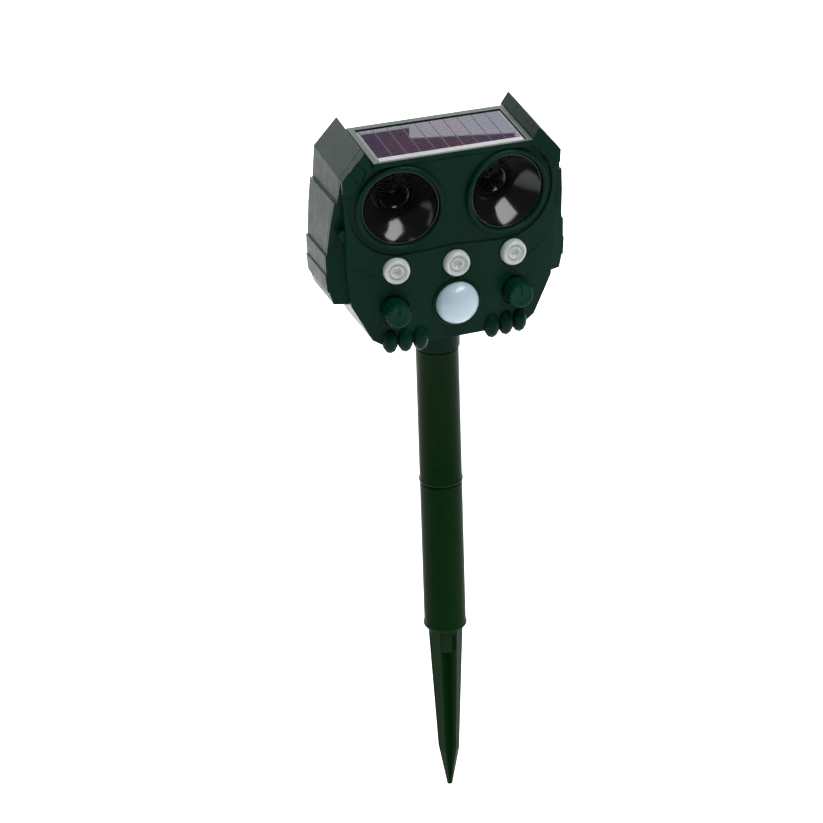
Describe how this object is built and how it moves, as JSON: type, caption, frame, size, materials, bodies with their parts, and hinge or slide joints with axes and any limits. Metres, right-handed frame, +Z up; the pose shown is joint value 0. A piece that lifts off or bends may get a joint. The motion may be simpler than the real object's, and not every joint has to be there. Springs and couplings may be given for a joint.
{
  "type": "ultrasonic pest repeller",
  "caption": "Owl-shaped solar animal repeller: a head with horn eyes, lamps, motion dome and dials swivels on a plug-together ground stake.",
  "frame": {"origin": "on the stake's axis at the soil line, where the spike meets the lower tube", "axes": "+Z up along the stake; the face looks along -Y; +X is to the right of someone looking along +Y at the face"},
  "size_m": [0.1364, 0.0645, 0.4223],
  "materials": {
    "shell_green": "fine-textured dark green moulded shell",
    "tube_green": "smooth semi-gloss dark green tube",
    "knob_green": "semi-gloss teal-green knob",
    "horn_black": "glossy black",
    "rubber_black": "soft black rubber",
    "lens_white": "whitish clear plastic",
    "dome_white": "milky translucent ribbed plastic",
    "cell_glass": "glossy laminate over dark blue cells",
    "board_green": "solder-masked board",
    "steel": "plain steel",
    "driver_grey": "dark grey plastic",
    "cell_wrap": "green shrink wrap on steel"
  },
  "bodies": {
    "spike_body": {"spike": "tube_green"},
    "lower_pole": {"lower_tube": "tube_green"},
    "upper_pole": {"upper_tube": "tube_green"},
    "pole_socket": {"stake_socket": "shell_green", "socket_retainer": "shell_green"},
    "left_dial": {"left_knob": "knob_green"},
    "right_dial": {"right_knob": "knob_green"},
    "power_key": {"power_button": "rubber_black"},
    "port_cap": {"charge_plug": "rubber_black"},
    "battery_door": {"battery_cover": "shell_green", "lid_screw_1": "steel", "lid_screw_2": "steel"},
    "head": {"rear_housing": "shell_green", "front_cover": "shell_green", "housing_gasket": "rubber_black", "panel_frame": "shell_green", "solar_panel": "cell_glass", "left_horn": "horn_black", "right_horn": "horn_black", "left_driver": "driver_grey", "right_driver": "driver_grey", "left_led_lens": "lens_white", "centre_led_lens": "lens_white", "right_led_lens": "lens_white", "left_led": "lens_white", "centre_led": "lens_white", "right_led": "lens_white", "pir_lens": "dome_white", "pir_sensor": "steel", "main_board": "board_green", "left_pot": "driver_grey", "right_pot": "driver_grey", "cell_1": "cell_wrap", "cell_2": "cell_wrap", "cell_3": "cell_wrap", "switch_body": "driver_grey", "charge_socket": "steel", "housing_screw_1": "steel", "housing_screw_2": "steel", "housing_screw_3": "steel", "housing_screw_4": "steel", "board_screw_1": "steel", "board_screw_2": "steel"}
  },
  "joints": [
    {"name": "lower_tube_off_spike", "type": "slide", "parent": "spike_body", "child": "lower_pole", "axis": [0, 0, 1], "range_m": [0, 0.025]},
    {"name": "upper_tube_off_lower", "type": "slide", "parent": "lower_pole", "child": "upper_pole", "axis": [0, 0, 1], "range_m": [0, 0.025]},
    {"name": "socket_off_tube", "type": "slide", "parent": "upper_pole", "child": "pole_socket", "axis": [0, 0, 1], "range_m": [0, 0.027]},
    {"name": "head_swivel", "type": "hinge", "parent": "pole_socket", "child": "head", "pos_m": [0, 0, 0.196], "axis": [0, 0, 1], "continuous": true},
    {"name": "left_knob_turn", "type": "hinge", "parent": "head", "child": "left_dial", "pos_m": [-0.0347, -0.036, 0.2168], "axis": [0, -1, 0], "range_deg": [0, 270]},
    {"name": "right_knob_turn", "type": "hinge", "parent": "head", "child": "right_dial", "pos_m": [0.0347, -0.036, 0.2168], "axis": [0, -1, 0], "range_deg": [0, 270]},
    {"name": "power_button_press", "type": "slide", "parent": "head", "child": "power_key", "axis": [0, -1, 0], "range_m": [0, 0.001], "stiffness_N_per_m": 800, "springref_m": -0.0005},
    {"name": "port_cap_pull", "type": "slide", "parent": "head", "child": "port_cap", "axis": [0, 1, 0], "range_m": [0, 0.008]},
    {"name": "battery_cover_pull", "type": "slide", "parent": "head", "child": "battery_door", "axis": [0, 1, 0], "range_m": [0, 0.02]}
  ]
}
